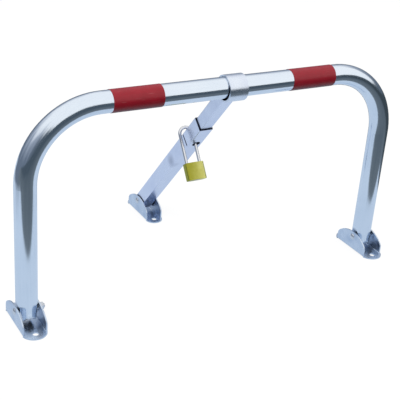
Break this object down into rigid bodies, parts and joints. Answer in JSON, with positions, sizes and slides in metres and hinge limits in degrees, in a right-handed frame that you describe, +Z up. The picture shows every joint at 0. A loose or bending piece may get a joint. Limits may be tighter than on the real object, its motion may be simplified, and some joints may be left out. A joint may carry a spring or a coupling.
{
  "type": "folding parking barrier",
  "caption": "Folding parking barrier: a bent tube hoop on two hinged feet, held up from behind by a sliding box-tube strut on a third foot, with a padlock through the strut.",
  "frame": {"origin": "middle of the part's outline on the ground plane, between the hoop's feet and the rear foot", "axes": "+X along the crossbar, +Y from the hoop towards the rear foot, +Z up"},
  "size_m": [0.8174, 0.449, 0.4295],
  "materials": {
    "zinc_tube": "bright zinc plating",
    "zinc_box": "satin zinc plating",
    "zinc_sheet": "satin zinc plating",
    "bright_zinc": "bright zinc plating",
    "weld": "weld bead under zinc plating",
    "red_band": "smooth red sleeve",
    "brass_case": "satin brass",
    "chrome_shackle": "polished",
    "plug_steel": "turned"
  },
  "bodies": {
    "feet": {"foot_left": "zinc_sheet", "foot_right": "zinc_sheet", "foot_rear": "zinc_sheet", "pivot_bolt_left": "bright_zinc", "pivot_bolt_right": "bright_zinc", "pivot_bolt_rear": "bright_zinc", "pivot_nut_left": "bright_zinc", "pivot_nut_right": "bright_zinc", "pivot_nut_rear": "bright_zinc", "nut_washer_left": "bright_zinc", "nut_washer_right": "bright_zinc", "nut_washer_rear": "bright_zinc", "side_washer_left_outer": "bright_zinc", "side_washer_left_inner": "bright_zinc", "side_washer_right_inner": "bright_zinc", "side_washer_right_outer": "bright_zinc", "side_washer_rear_left": "bright_zinc", "side_washer_rear_right": "bright_zinc"},
    "hoop": {"hoop_tube": "zinc_tube", "band_left": "red_band", "band_right": "red_band"},
    "upper_strut": {"upper_strut": "zinc_box", "collar": "zinc_tube", "collar_weld": "weld"},
    "lower_strut": {"lower_strut": "zinc_box", "padlock_shackle": "chrome_shackle"},
    "padlock_case": {"padlock_case": "brass_case"},
    "padlock_plug": {"padlock_plug": "plug_steel"}
  },
  "joints": [
    {"name": "hoop_fold", "type": "hinge", "parent": "feet", "child": "hoop", "pos_m": [-0.00335, -0.163, 0.028], "axis": [1, 0, 0], "range_deg": [0, 88]},
    {"name": "collar_swivel", "type": "hinge", "parent": "hoop", "child": "upper_strut", "pos_m": [0.01265, -0.163, 0.406], "axis": [1, 0, 0], "range_deg": [-38.5, 0]},
    {"name": "lower_strut_fold", "type": "hinge", "parent": "feet", "child": "lower_strut", "pos_m": [0.01265, 0.163, 0.028], "axis": [1, 0, 0], "range_deg": [0, 49.5]},
    {"name": "padlock_release", "type": "slide", "parent": "lower_strut", "child": "padlock_case", "axis": [0, -0.5768, -0.8169], "range_m": [0, 0.012]},
    {"name": "key_turn", "type": "hinge", "parent": "padlock_case", "child": "padlock_plug", "pos_m": [-0.00035, -0.08287, 0.18613], "axis": [0, -0.5768, -0.8169], "range_deg": [0, 90]}
  ],
  "couplings": [
    {"joint": "collar_swivel", "follows": "hoop_fold", "ratio": -0.4375},
    {"joint": "lower_strut_fold", "follows": "hoop_fold", "ratio": 0.5625}
  ]
}
